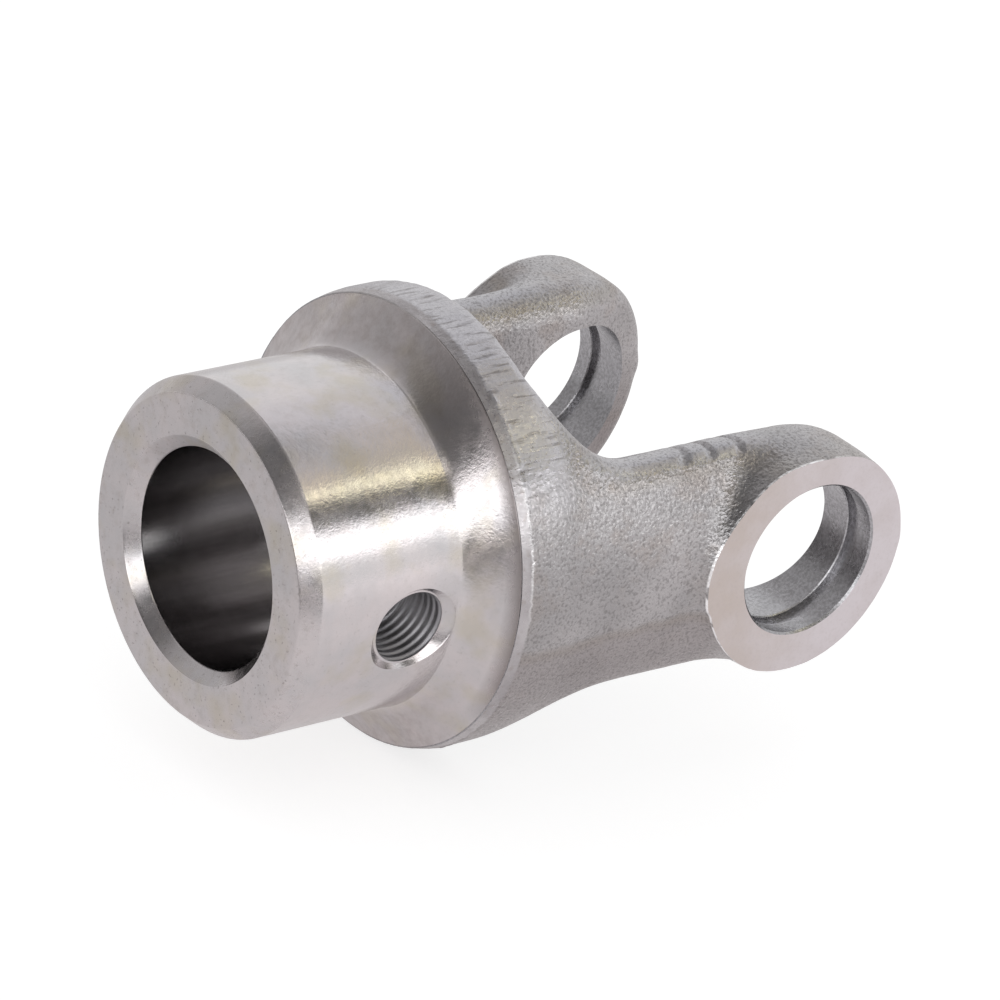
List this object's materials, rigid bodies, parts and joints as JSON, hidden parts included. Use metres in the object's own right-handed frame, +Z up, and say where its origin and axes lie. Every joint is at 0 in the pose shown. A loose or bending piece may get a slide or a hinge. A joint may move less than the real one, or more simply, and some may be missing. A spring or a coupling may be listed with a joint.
{
  "type": "forged yoke",
  "caption": "Forged steel yoke of a cross joint: bored hub with a set-screw hole, round flange and forked ears with ring-grooved bearing bores.",
  "frame": {"origin": "centre of the joint: the middle of the bearing bores' axis, where it crosses the shaft's axis", "axes": "+Y along the bearing bores, -X along the shaft bore and out of the hub's mouth, +Z up across the arms"},
  "size_m": [0.0957, 0.0648, 0.063],
  "materials": {
    "steel": "shot-blasted forged skin, with hub, bores and ear faces machined bright"
  },
  "bodies": {
    "root": {"yoke": "steel"}
  },
  "joints": []
}
